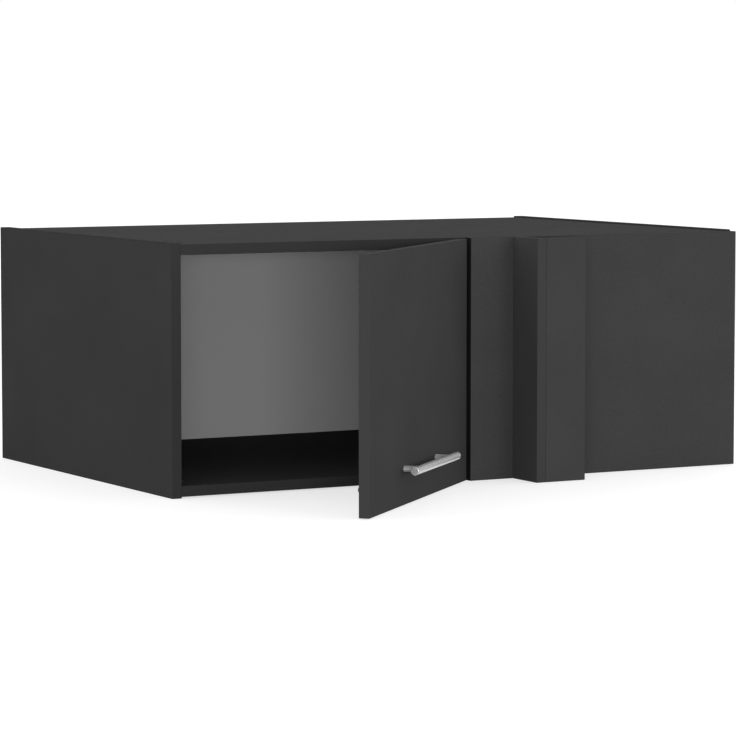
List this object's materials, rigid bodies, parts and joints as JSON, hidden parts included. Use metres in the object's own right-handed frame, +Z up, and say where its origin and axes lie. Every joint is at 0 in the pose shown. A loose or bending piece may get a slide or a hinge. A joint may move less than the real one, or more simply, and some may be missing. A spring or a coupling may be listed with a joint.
{
  "type": "corner wall cabinet",
  "caption": "Low blind-corner wall cabinet with a side-hinged door, a bar handle, a fixed blind panel and an L-shaped filler post for the neighbouring run.",
  "frame": {"origin": "middle of the four wall screw holes, on the wall plane at the rear of the side panels", "axes": "+X to the viewer's right along the wall, +Y into the wall, +Z up; the door is at the front, towards -Y"},
  "size_m": [1, 0.9977, 0.38],
  "materials": {
    "carcass_board": "matte anthracite melamine on chipboard, edge banded",
    "front_board": "matte anthracite melamine on chipboard, edge banded all round",
    "back_board": "thin hardboard, light grey lacquer inside and raw brown behind",
    "handle_steel": "satin brushed",
    "hinge_steel": "nickel plated",
    "zinc_steel": "bright zinc plated",
    "cam_zinc": "die cast zinc",
    "dowel_wood": "plain beech",
    "bumper_rubber": "soft translucent"
  },
  "bodies": {
    "carcass": {"left_side_panel": "carcass_board", "right_side_panel": "carcass_board", "bottom_panel": "carcass_board", "top_panel": "carcass_board", "back_panel": "back_board", "centre_post": "carcass_board", "blind_panel": "front_board", "return_strip": "front_board", "fixing_strip": "front_board", "return_strip_screws": "zinc_steel", "steel_angles": "zinc_steel", "steel_angle_screws": "zinc_steel", "cam_locks": "cam_zinc", "cam_bolts": "zinc_steel", "side_dowels": "dowel_wood", "post_dowels": "dowel_wood", "lower_wall_rail": "carcass_board", "upper_wall_rail": "carcass_board", "lower_hinge_plate": "hinge_steel", "lower_hinge_arm": "hinge_steel", "lower_plate_screws": "zinc_steel", "lower_arm_screws": "zinc_steel", "upper_hinge_plate": "hinge_steel", "upper_hinge_arm": "hinge_steel", "upper_plate_screws": "zinc_steel", "upper_arm_screws": "zinc_steel"},
    "door": {"door_panel": "front_board", "handle_bar": "handle_steel", "left_handle_post": "handle_steel", "right_handle_post": "handle_steel", "handle_screws": "zinc_steel", "lower_hinge_cup": "hinge_steel", "lower_hinge_pin": "hinge_steel", "lower_cup_screws": "zinc_steel", "upper_hinge_cup": "hinge_steel", "upper_hinge_pin": "hinge_steel", "upper_cup_screws": "zinc_steel", "lower_door_bumper": "bumper_rubber", "upper_door_bumper": "bumper_rubber"}
  },
  "joints": [
    {"name": "door_hinge", "type": "hinge", "parent": "carcass", "child": "door", "pos_m": [-0.01, -0.657, 0], "axis": [0, 0, 1], "range_deg": [-43.4, 51.6]}
  ]
}
